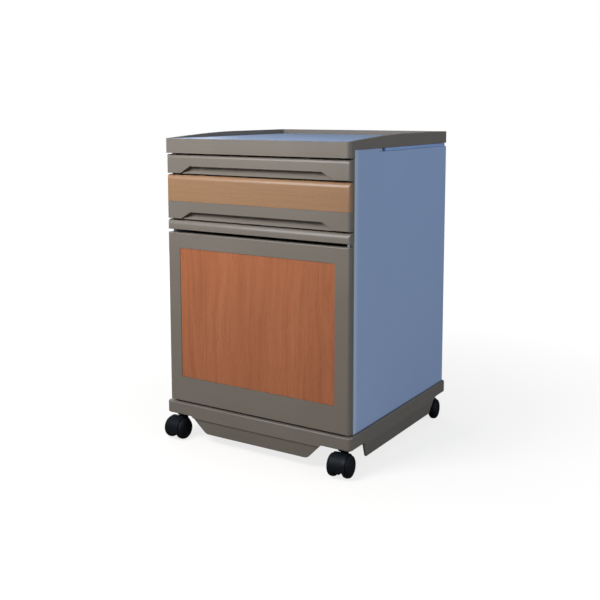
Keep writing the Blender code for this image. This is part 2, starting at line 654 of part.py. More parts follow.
def make_door():
    """The door: a frame round a wooden panel, lined at the back, turning on two pins."""
    frame = front_solid("door_frame", "taupe_abs", DOOR_Z, 0.0030)
    reach = HINGE_REAR_CORNER
    corner = [(FRONT_HALF + OVERSHOOT, FRONT_Y[1] - reach),
              (FRONT_HALF + OVERSHOOT, FRONT_Y[1] + OVERSHOOT),
              (FRONT_HALF - reach, FRONT_Y[1] + OVERSHOOT)]
    for step in range(ARC_STEPS + 1):
        angle = (1 - step / ARC_STEPS) * math.pi / 2
        corner.append((FRONT_HALF - reach * (1 - math.cos(angle)),
                       FRONT_Y[1] - reach * (1 - math.sin(angle))))
    door_height = DOOR_Z[1] - DOOR_Z[0] + 2 * OVERSHOOT
    wood_back = FRONT_Y[0] + WOOD_RECESS + WOOD_THICK + GAP
    ledge_half = WOOD_HALF - WOOD_LEDGE
    liner_x = FRONT_HALF - LINER_MARGIN
    liner_z = (DOOR_Z[0] + LINER_MARGIN, DOOR_Z[1] - LINER_MARGIN)
    liner_front = FRONT_Y[1] - LINER_THICK
    combine(
        frame, "DIFFERENCE",
        cutter("hinge_corner", outline_mesh("hinge_corner", corner, door_height, "XY"),
               (0, 0, sum(DOOR_Z) / 2)),
        box_cutter("wood_pocket", (-WOOD_HALF, -0.3, WOOD_Z[0]), (WOOD_HALF, wood_back, WOOD_Z[1])),
        box_cutter("door_window", (-ledge_half, -0.3, WOOD_Z[0] + WOOD_LEDGE),
                   (ledge_half, -0.2, WOOD_Z[1] - WOOD_LEDGE)),
        box_cutter("liner_pocket", (-liner_x, liner_front - GAP, liner_z[0]), (liner_x, -0.2, liner_z[1])),
        bore("door_top_bore", DOOR_PIN_R + GAP, DOOR_Z[1] - DOOR_PIN_DEPTH - GAP, DOOR_Z[1] + OVERSHOOT,
             HINGE),
        bore("door_foot_bore", DOOR_PIN_R + GAP, DOOR_Z[0] - OVERSHOOT, DOOR_Z[0] + DOOR_PIN_DEPTH + GAP,
             HINGE))
    wood = box("door_wood_panel", "door_wood",
               (-WOOD_HALF + GAP, FRONT_Y[0] + WOOD_RECESS, WOOD_Z[0] + GAP),
               (WOOD_HALF - GAP, wood_back - GAP, WOOD_Z[1] - GAP), 0.0004)
    liner = box("door_liner", "white_abs", (-liner_x + GAP, liner_front, liner_z[0] + GAP),
                (liner_x - GAP, FRONT_Y[1], liner_z[1] - GAP), 0.0003)
    pins = [
        place("door_pin_top", pin_mesh("door_pin_top", DOOR_PIN_R, DOOR_Z[1] - DOOR_PIN_DEPTH,
                                       MID_RAIL_Z[0] + 0.0090), "steel", (*HINGE, 0)),
        place("door_pin_bottom", pin_mesh("door_pin_bottom", DOOR_PIN_R, BAND_TOP - BASE_PLATE + GAP,
                                          DOOR_Z[0] + DOOR_PIN_DEPTH), "steel", (*HINGE, 0))]
    catch_x = GAP - PANEL_X[0]
    strike = box("door_strike", "steel", (catch_x + 0.0010, FRONT_Y[1] + GAP, CATCH_Z[0] + 0.005),
                 (catch_x + 0.0120, FRONT_Y[1] + 0.0018, CATCH_Z[1] - 0.005), 0.0003)
    box("door_catch", "white_abs", (catch_x, FRONT_Y[1] + 0.0026, CATCH_Z[0]),
        (catch_x + 0.0130, FRONT_Y[1] + 0.0230, CATCH_Z[1]), 0.0010)
    hang(pivot("door_hinge", (*HINGE, 0)), frame, wood, liner, strike, *pins)


def make_towel_arm():
    """The swing-out towel arm, its pin, and the light button at the rebate's front end."""
    middle = sum(ARM_X) / 2
    half = (ARM_X[1] - ARM_X[0]) / 2
    end_y = ARM_PIVOT[1] + half
    outline = rounded([(middle - half, ARM_TIP_Y, 0.002), (middle + half, ARM_TIP_Y, 0.002),
                       (middle + half, end_y, half * 0.98), (middle - half, end_y, half * 0.98)])
    mesh = outline_mesh("towel_arm", outline, ARM_Z[1] - ARM_Z[0], "XY")
    arm = place("towel_arm", mesh, "aluminium", (0, 0, sum(ARM_Z) / 2))
    combine(arm, "DIFFERENCE", bore("arm_bore", ARM_PIN_R + BORE_PLAY, 0.5, 0.8, ARM_PIVOT))
    place("towel_arm_pin", pin_mesh("towel_arm_pin", ARM_PIN_R, REBATE_Z - 0.0100, ARM_Z[1]), "steel",
          (*ARM_PIVOT, 0))
    face = PANEL_X[1] + 0.0004
    button = place("towel_arm_button", turned_mesh("towel_arm_button", [
        (0, 0), (BUTTON_R - 0.001, -0.0003), (BUTTON_R, -0.0012), (BUTTON_R, REBATE_X + GAP - face),
        (0, REBATE_X + GAP - face)]), "clear_nylon", (face, BUTTON_Y, (REBATE_Z + SKIRT_Z) / 2))
    button.rotation_euler.y = math.pi / 2
    hang(pivot("towel_arm_hinge", (*ARM_PIVOT, ARM_Z[0])), arm)


make_base_tray()
make_casters()
make_top_tray()
make_side_panels()
make_carcass()
FRONT_CORNERS = corner_cutters()
make_mid_rail()
make_drawer()
make_dining_board()
make_door()
make_towel_arm()
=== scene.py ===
"""Looks of the bedside cabinet: detailed pieces and materials on the fixed CAD frame.

Metres, +Z up, front towards -Y. Moulded pieces are built again here with finer roundings than the
CAD solids carry, and each takes the place of its CAD node. The rest of the nodes keep their own
shape and get a procedural material.
"""

import json
import math

import bmesh
import bpy
from mathutils import Euler, Matrix, Vector


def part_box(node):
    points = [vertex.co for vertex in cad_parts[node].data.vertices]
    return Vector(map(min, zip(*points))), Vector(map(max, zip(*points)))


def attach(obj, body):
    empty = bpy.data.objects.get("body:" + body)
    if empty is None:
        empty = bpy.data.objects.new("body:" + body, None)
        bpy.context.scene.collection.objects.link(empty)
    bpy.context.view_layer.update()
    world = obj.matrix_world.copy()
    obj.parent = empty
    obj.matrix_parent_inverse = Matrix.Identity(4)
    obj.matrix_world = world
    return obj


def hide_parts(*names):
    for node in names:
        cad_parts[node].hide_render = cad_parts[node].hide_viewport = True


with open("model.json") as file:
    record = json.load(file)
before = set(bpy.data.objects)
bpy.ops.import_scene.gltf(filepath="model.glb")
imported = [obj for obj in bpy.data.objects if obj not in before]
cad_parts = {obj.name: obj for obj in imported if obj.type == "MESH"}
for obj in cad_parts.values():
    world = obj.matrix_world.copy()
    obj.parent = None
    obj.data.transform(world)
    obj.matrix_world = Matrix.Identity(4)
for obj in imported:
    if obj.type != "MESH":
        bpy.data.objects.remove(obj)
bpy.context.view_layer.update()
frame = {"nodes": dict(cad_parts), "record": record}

GAP = 0.0003  # clearance between pieces that fit together
ARC_STEPS = 10  # facets in a quarter turn of an outline's corner

# Heights that several pieces share, above the floor.
BASE_Z = 0.0605
BAND_TOP = BASE_Z + 0.0284
DOOR_Z = (BASE_Z + 0.0325, BASE_Z + 0.4359)
MID_RAIL_Z = (BASE_Z + 0.4435, BASE_Z + 0.4661)
DRAWER_Z = (BASE_Z + 0.4690, BASE_Z + 0.5713)
FASCIA_Z = BASE_Z + 0.5095
BOARD_Z = (BASE_Z + 0.5746, BASE_Z + 0.6178)
LIP_Z = BASE_Z + 0.6212
SKIRT_Z = BASE_Z + 0.6378
DECK_Z = BASE_Z + 0.6546
RIM_Z = BASE_Z + 0.6660

# Plan sizes, from the cabinet's middle.
FRONT_Y = (-0.2458, -0.2263)  # face and back of every front
FRONT_HALF = 0.2443
FRONT_CORNER = 0.006  # radius of the fronts' vertical corners
BASE_HALF = 0.2515
TRAY_HALF = (0.24565, 0.24955)
CASTER_X, CASTER_Y = 0.2225, 0.2235
HINGE = (0.2360, -0.2375)
ARM_PIVOT = (0.2401, 0.2360)
REBATE_Z = BASE_Z + 0.6298  # floor of the towel arm's rebate in the right panel

HINGE_BORE, ARM_BORE = 0.0033, 0.0021  # radii
CLEAR = 0.004  # how far a cutter stands out of what it cuts
WIDE, HIGH = 0.3, 0.8  # past the cabinet's sides and over its top

PLANES = {
    "XY": Euler((0, 0, 0)),
    "XZ": Euler((math.pi / 2, 0, 0)),
    "YZ": Euler((math.pi / 2, 0, math.pi / 2)),
}


# ---------------------------------------------------------------- node materials

class Nodes:
    """A material's node tree, with short ways to add and link nodes."""

    def __init__(self, name):
        self.material = bpy.data.materials.new(name)
        self.material.use_nodes = True
        self.tree = self.material.node_tree
        self.tree.nodes.clear()
        self.shader = self.tree.nodes.new("ShaderNodeBsdfPrincipled")
        output = self.tree.nodes.new("ShaderNodeOutputMaterial")
        self.tree.links.new(self.shader.outputs["BSDF"], output.inputs["Surface"])
        self.coords = self.tree.nodes.new("ShaderNodeTexCoord")

    def add(self, kind, inputs=None, **settings):
        node = self.tree.nodes.new("ShaderNode" + kind)
        for key, value in settings.items():
            setattr(node, key, value)
        for key, value in (inputs or {}).items():
            self.feed(node.inputs[key], value)
        return node

    def feed(self, socket, value):
        if isinstance(value, bpy.types.NodeSocket):
            self.tree.links.new(value, socket)
        else:
            socket.default_value = value

    def place(self, scale=(1, 1, 1), rotation=(0, 0, 0), shift=(0, 0, 0)):
        """Object coordinates, scaled along each axis."""
        return self.add("Mapping", {"Vector": self.coords.outputs["Object"], "Scale": scale,
                                    "Rotation": rotation, "Location": shift}).outputs["Vector"]

    def stretched(self, along, across, lengthwise):
        """Object coordinates with one scale along an axis and another across it."""
        scale = [across] * 3
        scale["XYZ".index(along)] = lengthwise
        return self.place(scale)

    def noise(self, vector, scale, detail=3.0, roughness=0.5, distortion=0.0):
        return self.add("TexNoise", {
            "Vector": vector, "Scale": scale, "Detail": detail,
            "Roughness": roughness, "Distortion": distortion}).outputs["Fac"]

    def span(self, value, low, high, to_low=0.0, to_high=1.0):
        """The value's range from low to high, carried over to another range."""
        return self.add("MapRange", {"Value": value, "From Min": low, "From Max": high,
                                     "To Min": to_low, "To Max": to_high}).outputs["Result"]

    def maths(self, operation, a, b=0.0):
        return self.add("Math", {0: a, 1: b}, operation=operation).outputs["Value"]

    def ramp(self, value, stops):
        node = self.add("ValToRGB", {"Fac": value})
        elements = node.color_ramp.elements
        while len(elements) < len(stops):
            elements.new(0.5)
        for element, (position, colour) in zip(elements, stops):
            element.position = position
            element.color = (*colour, 1)
        return node.outputs["Color"]

    def mix(self, share, a, b, blend="MIX"):
        node = self.add("Mix", data_type="RGBA", blend_type=blend)
        self.feed(node.inputs[0], share)
        for socket, value in ((node.inputs[6], a), (node.inputs[7], b)):
            self.feed(socket, value if isinstance(value, bpy.types.NodeSocket) else (*value, 1))
        return node.outputs[2]

    def shaded(self, colour, tone):
        """A colour times a grey tone."""
        grey = self.add("CombineColor", {0: tone, 1: tone, 2: tone}).outputs[0]
        return self.mix(1.0, colour, grey, "MULTIPLY")

    def worn(self, radius=0.0012):
        """A mask of the sharp outer and inner edges, broken up by noise."""
        rounded_normal = self.add("Bevel", {"Radius": radius}, samples=4).outputs["Normal"]
        flat_normal = self.add("NewGeometry").outputs["Normal"]
        facing = self.add("VectorMath", {0: rounded_normal, 1: flat_normal},
                          operation="DOT_PRODUCT")
        edge = self.span(self.maths("SUBTRACT", 1.0, facing.outputs["Value"]), 0.02, 0.16)
        broken = self.span(self.noise(self.place(), 160.0, 4.0, 0.65), 0.40, 0.62)
        return self.maths("MULTIPLY", edge, broken)

    def finish(self, colour, roughness, bumps=(), metallic=0.0, specular=0.5):
        """Links the colour, roughness and chain of (height, strength, distance) bumps."""
        self.feed(self.shader.inputs["Base Color"], colour)
        self.feed(self.shader.inputs["Roughness"], roughness)
        self.shader.inputs["Metallic"].default_value = metallic
        self.shader.inputs["Specular IOR Level"].default_value = specular
        normal = None
        for height, strength, distance in bumps:
            node = self.add("Bump", {"Height": height, "Strength": strength, "Distance": distance})
            if normal is not None:
                self.feed(node.inputs["Normal"], normal)
            normal = node.outputs["Normal"]
        if normal is not None:
            self.feed(self.shader.inputs["Normal"], normal)
        return self.material


def moulded_plastic(name, light, dark, roughness=0.42, clean=False):
    """Injection-moulded ABS: fine spark texture, soft tone drift, scuffs and lighter edges."""
    n = Nodes(name)
    broad = n.noise(n.place(), 5.0, 4.0, 0.55, 0.4)
    fine = n.noise(n.place(), 420.0, 3.0, 0.6)
    colour = n.mix(n.span(broad, 0.3, 0.7), dark, light)
    colour = n.shaded(colour, n.span(fine, 0.25, 0.75, 0.955, 1.045))
    rough = n.span(broad, 0.3, 0.7, roughness - 0.04, roughness + 0.05)
    if not clean:
        edge_tone = tuple(min(1.0, channel * 1.4 + 0.01) for channel in light)
        colour = n.mix(n.maths("MULTIPLY", n.worn(), 0.55), colour, edge_tone)
        scuff = n.noise(n.place((30, 30, 3.5), (0.35, 0.2, 0.1)), 6.0, 6.0, 0.7, 1.2)
        rough = n.maths("ADD", rough, n.span(scuff, 0.60, 0.72, 0.0, 0.10))
    texture = n.noise(n.place(), 2600.0, 2.0, 0.6)
    pull = n.noise(n.place(), 9.0, 2.0, 0.5)
    return n.finish(colour, rough, [(pull, 0.25, 0.0012), (texture, 0.35, 0.00003)])


EDGE_HIGHLIGHT_Y = (-0.2080, -0.2200)  # where the painted highlight along a side panel's front edge begins and is full


def laminate(name, light, dark, roughness=0.40, streaks=0.5, band=None):
    """Decor laminate on board: printed thread pattern and fine pearl embossing.

    A band colour, if given, is painted along the board's front edge as a highlight.
    """
    n = Nodes(name)
    broad = n.noise(n.place((1, 1, 0.5)), 2.6, 3.0, 0.5, 0.3)
    thread = n.noise(n.place((160, 160, 9)), 9.0, 3.0, 0.6)
    fleck = n.noise(n.place(), 900.0, 2.0, 0.6)
    colour = n.mix(n.span(broad, 0.3, 0.7), dark, light)
    tone = n.maths("ADD", n.span(thread, 0.3, 0.7, -0.06 * streaks, 0.06 * streaks),
                   n.span(fleck, 0.25, 0.75, 0.965, 1.035))
    colour = n.shaded(colour, tone)
    pale = tuple(min(1.0, channel * 1.35 + 0.03) for channel in light)
    colour = n.mix(n.maths("MULTIPLY", n.worn(0.0010), 0.6), colour, pale)
    # Painted highlight: the band colour fades in towards the front edge, where the rounded edge
    # catches the light.
    if band:
        where = n.add("SeparateXYZ", {0: n.coords.outputs["Object"]}).outputs["Y"]
        colour = n.mix(n.span(where, *EDGE_HIGHLIGHT_Y, 0.0, 0.70), colour, band)
    rub = n.noise(n.place((2.5, 2.5, 1.2)), 3.0, 6.0, 0.7, 0.8)
    rough = n.span(rub, 0.35, 0.65, roughness - 0.05, roughness + 0.06)
    pearl = n.add("TexVoronoi", {"Vector": n.place(), "Scale": 700.0}).outputs["Distance"]
    return n.finish(colour, rough, [(broad, 0.10, 0.0010), (pearl, 0.30, 0.00004)])


def veneer(name, pale, middle, deep, along, contrast=1.0, pores=0.5):
    """Wood decor with its grain along one axis: cathedral bands, fine fibres, flecks and pores."""
    n = Nodes(name)
    wander = n.span(n.noise(n.place(), 3.4, 2.0, 0.5), 0.2, 0.8, -0.45, 0.45)
    drift = n.add("CombineXYZ", {0: wander, 1: 0.0, 2: 0.0 if along == "Z" else wander})
    bent = n.add("VectorMath", {0: n.stretched(along, 30.0, 1.5), 1: drift.outputs[0]},
                 operation="ADD").outputs["Vector"]
    bands = n.noise(bent, 1.0, 5.0, 0.6, 0.25)
    rings = n.maths("PINGPONG", n.maths("MULTIPLY", n.noise(bent, 0.55, 1.0, 0.4), 9.0), 0.5)
    fibre = n.noise(n.stretched(along, 460.0, 9.0), 1.0, 4.0, 0.65)
    fleck = n.noise(n.stretched(along, 520.0, 95.0), 1.0, 2.0, 0.5)
    pore = n.noise(n.stretched(along, 950.0, 46.0), 1.0, 1.0, 0.5)
    reach = 0.34 / contrast
    share = n.maths("ADD", n.span(bands, 0.5 - reach, 0.5 + reach, 0.0, 0.8),
                    n.span(rings, 0.0, 0.5, 0.0, 0.2))
    colour = n.ramp(share, [(0.0, deep), (0.5, middle), (1.0, pale)])
    colour = n.shaded(colour, n.maths("ADD", n.span(fibre, 0.25, 0.75, 0.88, 1.11),
                                      n.span(fleck, 0.60, 0.72, 0.0, 0.13)))
    open_pore = n.span(pore, 0.62, 0.71)
    colour = n.mix(n.maths("MULTIPLY", open_pore, pores), colour, tuple(0.5 * c for c in deep))
    colour = n.mix(n.maths("MULTIPLY", n.worn(0.0010), 0.45), colour,
                   tuple(min(1, 1.3 * c) for c in pale))
    rough = n.span(bands, 0.3, 0.7, 0.43, 0.35)
    return n.finish(colour, rough, [(fibre, 0.25, 0.00012), (open_pore, -0.30, 0.00008)])


def anodised(name, light, dark, roughness, along):
    """Aluminium extrusion under a coloured film, drawn along one axis, with a little staining."""
    n = Nodes(name)
    drawn = n.noise(n.stretched(along, 700.0, 6.0), 1.0, 3.0, 0.7)
    stain = n.noise(n.place(), 18.0, 5.0, 0.6, 0.5)
    colour = n.mix(n.span(stain, 0.3, 0.7), dark, light)
    rough = n.maths("ADD", n.span(drawn, 0.3, 0.7, roughness - 0.05, roughness + 0.06),
                    n.span(stain, 0.4, 0.7, 0.0, 0.08))
    return n.finish(colour, rough, [(drawn, 0.5, 0.00003)], metallic=0.3)


def galvanised(name, light, dark, roughness):
    """Zinc-plated steel: small spangles and a dull bloom."""
    n = Nodes(name)
    cells = n.add("TexVoronoi", {"Vector": n.place(), "Scale": 130.0}, feature="SMOOTH_F1")
    bloom = n.noise(n.place(), 30.0, 5.0, 0.65, 0.6)
    colour = n.mix(n.span(cells.outputs["Distance"], 0.1, 0.7), light, dark)
    rough = n.span(bloom, 0.3, 0.7, roughness - 0.06, roughness + 0.12)
    return n.finish(colour, rough, [(bloom, 0.15, 0.00006)], metallic=1.0)


def nylon(name, light, dark, roughness, dust):
    """Glass-filled nylon or tyre rubber, under a broken film of floor dust."""
    n = Nodes(name)
    broad = n.noise(n.place(), 40.0, 4.0, 0.6, 0.3)
    colour = n.mix(n.span(broad, 0.3, 0.7), dark, light)
    rough = n.span(broad, 0.3, 0.7, roughness - 0.05, roughness + 0.07)
    film = n.noise(n.place(), 120.0, 6.0, 0.7, 0.4)
    layer = n.maths("MULTIPLY", n.span(film, 0.46, 0.70), dust)
    colour = n.mix(layer, colour, (0.10, 0.095, 0.085))
    rough = n.maths("ADD", rough, n.maths("MULTIPLY", layer, 0.35))
    texture = n.noise(n.place(), 1800.0, 2.0, 0.6)
    return n.finish(colour, rough, [(texture, 0.30, 0.00003)], specular=0.16)


def clear_nylon(name):
    """Natural milky nylon."""
    n = Nodes(name)
    cloud = n.noise(n.place(), 140.0, 3.0, 0.6)
    colour = n.mix(n.span(cloud, 0.3, 0.7), (0.60, 0.58, 0.52), (0.74, 0.73, 0.69))
    rough = n.span(cloud, 0.3, 0.7, 0.28, 0.42)
    return n.finish(colour, rough, [(cloud, 0.2, 0.00004)])


BLUES = (0.392, 0.520, 0.765), (0.372, 0.498, 0.740)
MATERIALS = {  # by the record's material slots
    "taupe_abs": moulded_plastic("taupe_abs", (0.206, 0.182, 0.152), (0.192, 0.169, 0.141)),
    "blue_laminate": laminate("blue_laminate", *BLUES),
    "door_wood": veneer("door_wood", (0.490, 0.178, 0.078), (0.425, 0.146, 0.062),
                        (0.330, 0.104, 0.043), "Z", pores=0.35),
    "maple_wood": veneer("maple_wood", (0.372, 0.212, 0.112), (0.342, 0.193, 0.101),
                         (0.300, 0.165, 0.085), "X", contrast=0.7, pores=0.18),
    "white_abs": moulded_plastic("white_abs", (0.640, 0.630, 0.600), (0.590, 0.580, 0.550), 0.48,
                                 clean=True),
    "grey_laminate": laminate("grey_laminate", (0.500, 0.500, 0.490), (0.455, 0.455, 0.447),
                              0.45, 0.3),
    "steel": galvanised("steel", (0.560, 0.570, 0.580), (0.430, 0.440, 0.450), 0.34),
    "aluminium": anodised("aluminium", (0.420, 0.600, 0.960), (0.380, 0.555, 0.920), 0.40, "Y"),
    "clear_nylon": clear_nylon("clear_nylon"),
    "black_nylon": nylon("black_nylon", (0.0060, 0.0085, 0.0125), (0.0042, 0.0060, 0.0092),
                         0.50, 0.02),
    "black_tyre": nylon("black_tyre", (0.0056, 0.0080, 0.0122), (0.0040, 0.0056, 0.0088),
                        0.54, 0.03),
}

# The side panels' laminate, with a painted highlight along their front edge.
EDGE_LIT_BLUE = laminate("edge_lit_blue", *BLUES, band=(0.62, 0.72, 0.80))


# ---------------------------------------------------------------- shapes

def linked(name, data, location=(0, 0, 0)):
    """A new object in the scene: a piece, a lamp, or a cutter that goes when its piece is baked."""
    thing = bpy.data.objects.new(name, data)
    thing.location = location
    bpy.context.scene.collection.objects.link(thing)
    return thing


def place(name, mesh, slot, body, node, location=(0, 0, 0)):
    """A named piece that rides on a body, in its slot's material, standing for a CAD node."""
    piece = linked(name, mesh, location)
    mesh.materials.clear()
    mesh.materials.append(MATERIALS[slot])
    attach(piece, body)
    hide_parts(node)
    return piece


def combine(part, operation, *helpers, solver="EXACT"):
    for helper in helpers:
        modifier = part.modifiers.new(helper.name, "BOOLEAN")
        modifier.operation = operation
        modifier.solver = solver
        modifier.object = helper
    return part


def soften(part, width, segments=3, angle=35):
    modifier = part.modifiers.new("edges", "BEVEL")
    modifier.width = width
    modifier.segments = segments
    modifier.limit_method = "ANGLE"
    modifier.angle_limit = math.radians(angle)
    return part


def mesh_of(part):
    graph = bpy.context.evaluated_depsgraph_get()
    return bpy.data.meshes.new_from_object(part.evaluated_get(graph))


def bake(part, smooth=32, flatten=True):
    """Turns the modifiers into mesh, drops the helpers and shades it smooth between sharp edges."""
    helpers = [m.object for m in part.modifiers if m.type == "BOOLEAN"]
    mesh = mesh_of(part)
    part.modifiers.clear()
    part.data = mesh
    for helper in helpers:
        bpy.data.objects.remove(helper)
    shape = bmesh.new()
    shape.from_mesh(mesh)
    bmesh.ops.remove_doubles(shape, verts=shape.verts, dist=0.000005)
    if flatten:
        bmesh.ops.dissolve_limit(shape, angle_limit=math.radians(0.4), verts=shape.verts,
                                 edges=shape.edges)
    shape.to_mesh(mesh)
    shape.free()
    shade(mesh, smooth)
    return part


def shade(mesh, angle=32):
    mesh.shade_smooth()
    mesh.set_sharp_from_angle(angle=math.radians(angle))
    return mesh


def final_edges(part, width, segments=3, angle=30, smooth=32):
    """Rounds every sharp edge that is left, and bakes the result."""
    soften(part, width, segments, angle)
    bake(part, smooth, flatten=False)
    normals = part.modifiers.new("normals", "WEIGHTED_NORMAL")
    normals.keep_sharp = True
    return part


def new_mesh(name, shape):
    """The mesh of a finished bmesh, which is freed."""
    mesh = bpy.data.meshes.new(name)
    shape.to_mesh(mesh)
    shape.free()
    return mesh


def box_cutter(name, low, high):
    low, high = Vector(low), Vector(high)
    shape = bmesh.new()
    bmesh.ops.create_cube(shape, size=1.0)
    bmesh.ops.scale(shape, vec=high - low, verts=shape.verts)
    return linked(name, new_mesh(name, shape), (low + high) / 2)


def rounded(corners, steps_per_quarter=ARC_STEPS):
    """The points of a polygon whose corners, given as (u, v, radius), are arcs."""
    points = []
    for index, (u, v, radius) in enumerate(corners):
        corner = Vector((u, v))
        if not radius:
            points.append(corner)
            continue
        before = (Vector(corners[index - 1][:2]) - corner).normalized()
        after = (Vector(corners[(index + 1) % len(corners)][:2]) - corner).normalized()
        half = before.angle(after) / 2
        centre = corner + (before + after).normalized() * radius / math.sin(half)
        start = corner + before * radius / math.tan(half) - centre
        end = corner + after * radius / math.tan(half) - centre
        first = math.atan2(start.y, start.x)
        turn = (math.atan2(end.y, end.x) - first + math.pi) % math.tau - math.pi
        steps = max(2, round(steps_per_quarter * abs(turn) / (math.pi / 2)))
        for step in range(steps + 1):
            angle = first + turn * step / steps
            points.append(centre + radius * Vector((math.cos(angle), math.sin(angle))))
    return points


def rectangle(low, high, radius=0.0, steps=ARC_STEPS):
    return rounded([(low[0], low[1], radius), (high[0], low[1], radius),
                    (high[0], high[1], radius), (low[0], high[1], radius)], steps)


def outline_mesh(name, points, thickness, plane):
    """A closed outline extruded by half the thickness to each side of its plane."""
    shape = bmesh.new()
    verts = [shape.verts.new((point[0], point[1], -thickness / 2)) for point in points]
    face = shape.faces.new(verts)
    top = bmesh.ops.extrude_face_region(shape, geom=[face])
    moved = [item for item in top["geom"] if isinstance(item, bmesh.types.BMVert)]
    bmesh.ops.translate(shape, vec=(0, 0, thickness), verts=moved)
    bmesh.ops.recalc_face_normals(shape, faces=shape.faces)
    mesh = new_mesh(name, shape)
    mesh.transform(PLANES[plane].to_matrix().to_4x4())
    return mesh


def slab_cutter(name, points, low, high):
    """A plan-view outline, extruded between two heights."""
    return linked(name, outline_mesh(name, points, high - low, "XY"), (0, 0, (low + high) / 2))


def turned_mesh(name, profile, steps=48, smooth=35):
    """A profile of (radius, height) points, from the top down its outer side, turned about Z."""
    shape = bmesh.new()
    verts = [shape.verts.new((radius, 0, height)) for radius, height in profile]
    edges = [shape.edges.new(pair) for pair in zip(verts, verts[1:])]
    bmesh.ops.spin(shape, geom=verts + edges, angle=math.tau, steps=steps, axis=(0, 0, 1),
                   cent=(0, 0, 0), use_merge=True)
    bmesh.ops.remove_doubles(shape, verts=shape.verts, dist=0.000002)
    bmesh.ops.recalc_face_normals(shape, faces=shape.faces)
    return shade(new_mesh(name, shape), smooth)


def pin_mesh(name, radius, low, high):
    return turned_mesh(name, [(0, high), (radius, high), (radius, low), (0, low)], 32)


def bore(name, radius, low, high, position):
    """An upright round cutter, also the blank of a boss."""
    return linked(name, pin_mesh(name, radius, low, high), (*position, 0))


# ---------------------------------------------------------------- top tray and base

RIM_WIDTH = 0.0095
RISE_END_Y = 0.030  # the side rims rise from the front edge to here
RISE_STEPS = 40
INLAY_INSET, INLAY_DEPTH = 0.0015, 0.0020
UNDER_SLAB_Y = -0.2275  # back of the tray's deep front lip


def rim_height(y):
    along = min(1.0, (y + TRAY_HALF[1]) / (RISE_END_Y + TRAY_HALF[1]))
    return DECK_Z + (RIM_Z - DECK_Z) * math.sin(along * math.pi / 2)


def make_top_tray():
    """A deep front lip, a deck, and rims that rise in a curve from the front."""
    half_x, half_y = TRAY_HALF
    outline = rectangle((-half_x, -half_y), (half_x, half_y), 0.009, 8)
    tray = place("top_tray_moulding",
                 outline_mesh("top_tray_moulding", outline, RIM_Z - LIP_Z, "XY"),
                 "taupe_abs", "carcass", "top_tray", (0, 0, (LIP_Z + RIM_Z) / 2))
    inner_x, inner_y = half_x - RIM_WIDTH, half_y - RIM_WIDTH
    ahead, over = -half_y - CLEAR, RIM_Z + CLEAR
    floor = rounded([(-inner_x, ahead, 0), (inner_x, ahead, 0),
                     (inner_x, inner_y, 0.006), (-inner_x, inner_y, 0.006)], 6)
    ys = [-half_y + step * (RISE_END_Y + half_y) / RISE_STEPS for step in range(RISE_STEPS + 1)]
    above = [(RISE_END_Y, over), (ahead, over), (ahead, DECK_Z)]
    inlay_x, inlay_y = inner_x - INLAY_INSET, inner_y - INLAY_INSET
    combine(
        tray, "DIFFERENCE",
        box_cutter("under_slab", (-WIDE, UNDER_SLAB_Y, LIP_Z - CLEAR), (WIDE, WIDE, SKIRT_Z)),
        slab_cutter("above_deck", floor, DECK_Z, DECK_Z + 0.040),
        linked("above_rims", outline_mesh("above_rims", [(y, rim_height(y)) for y in ys] + above,
                                          2 * WIDE, "YZ")),
        box_cutter("inlay_pocket", (-inlay_x, -inlay_y, DECK_Z - INLAY_DEPTH),
                   (inlay_x, inlay_y, HIGH)))
    bake(tray)
    final_edges(tray, 0.0016, 4, 30)


APRON_SPANS = {  # half-lengths at the top and bottom, and the radii at their ends
    "front": (0.177, 0.1395, 0.007, 0.020),
    "side": (0.188, 0.168, 0.012, 0.004),
}
APRON_DROP, APRON_LEAN, APRON_WALL = 0.0377, 0.005, 0.0040
APRON_SETBACK = 0.002  # of its top, behind the band's face
APRON_ROOT = 0.007  # how far it reaches up inside the band
BROW_DROP, BROW_ROOT, BROW_WALL = 0.0035, 0.005, 0.005


def on_side(mesh, out, turn):
    """Stands a mesh at a distance behind the front face of the base, then turns it to a side."""
    mesh.transform(Matrix.Translation((0, out - BASE_HALF, BASE_Z)))
    mesh.transform(Matrix.Rotation(math.radians(turn), 4, "Z"))
    return linked(mesh.name, mesh)


def apron(side, turn):
    """One side's apron: a trapezium with rounded ends that leans inwards."""
    top_half, bottom_half, flare, foot = APRON_SPANS[side]
    lean = math.atan2(APRON_LEAN, APRON_DROP)
    drop = APRON_DROP / math.cos(lean)
    end = top_half + 2 * flare
    corners = [(-bottom_half, -drop, foot), (bottom_half, -drop, foot), (top_half, 0, flare),
               (end, 0, 0), (end, APRON_ROOT, 0), (-end, APRON_ROOT, 0),
               (-end, 0, 0), (-top_half, 0, flare)]
    mesh = outline_mesh(f"apron_{side}_{turn}", rounded(corners, 16), APRON_WALL, "XZ")
    mesh.transform(Matrix.Translation((0, APRON_WALL / 2, 0)))
    mesh.transform(Matrix.Rotation(lean, 4, "X"))
    return on_side(mesh, APRON_SETBACK, turn)


def brow(side, turn):
    """The strip that carries the band's face a little way down over an apron."""
    top_half, bottom_half = APRON_SPANS[side][:2]
    slope = (top_half - bottom_half) / APRON_DROP
    foot, head = top_half - slope * BROW_DROP, top_half + slope * BROW_ROOT
    corners = [(-foot, -BROW_DROP), (foot, -BROW_DROP), (head, BROW_ROOT), (-head, BROW_ROOT)]
    mesh = outline_mesh(f"brow_{side}_{turn}", corners, BROW_WALL, "XZ")
    return on_side(mesh, BROW_WALL / 2, turn)


BASE_WALL, BASE_ROOF = 0.005, 0.004
BOSS_R, SOCKET_R, SOCKET_DEPTH = 0.0115, 0.0075, 0.0210
RIB_PITCH, RIB_HALF, RIB_REACH = 0.060, 0.0010, 0.2455


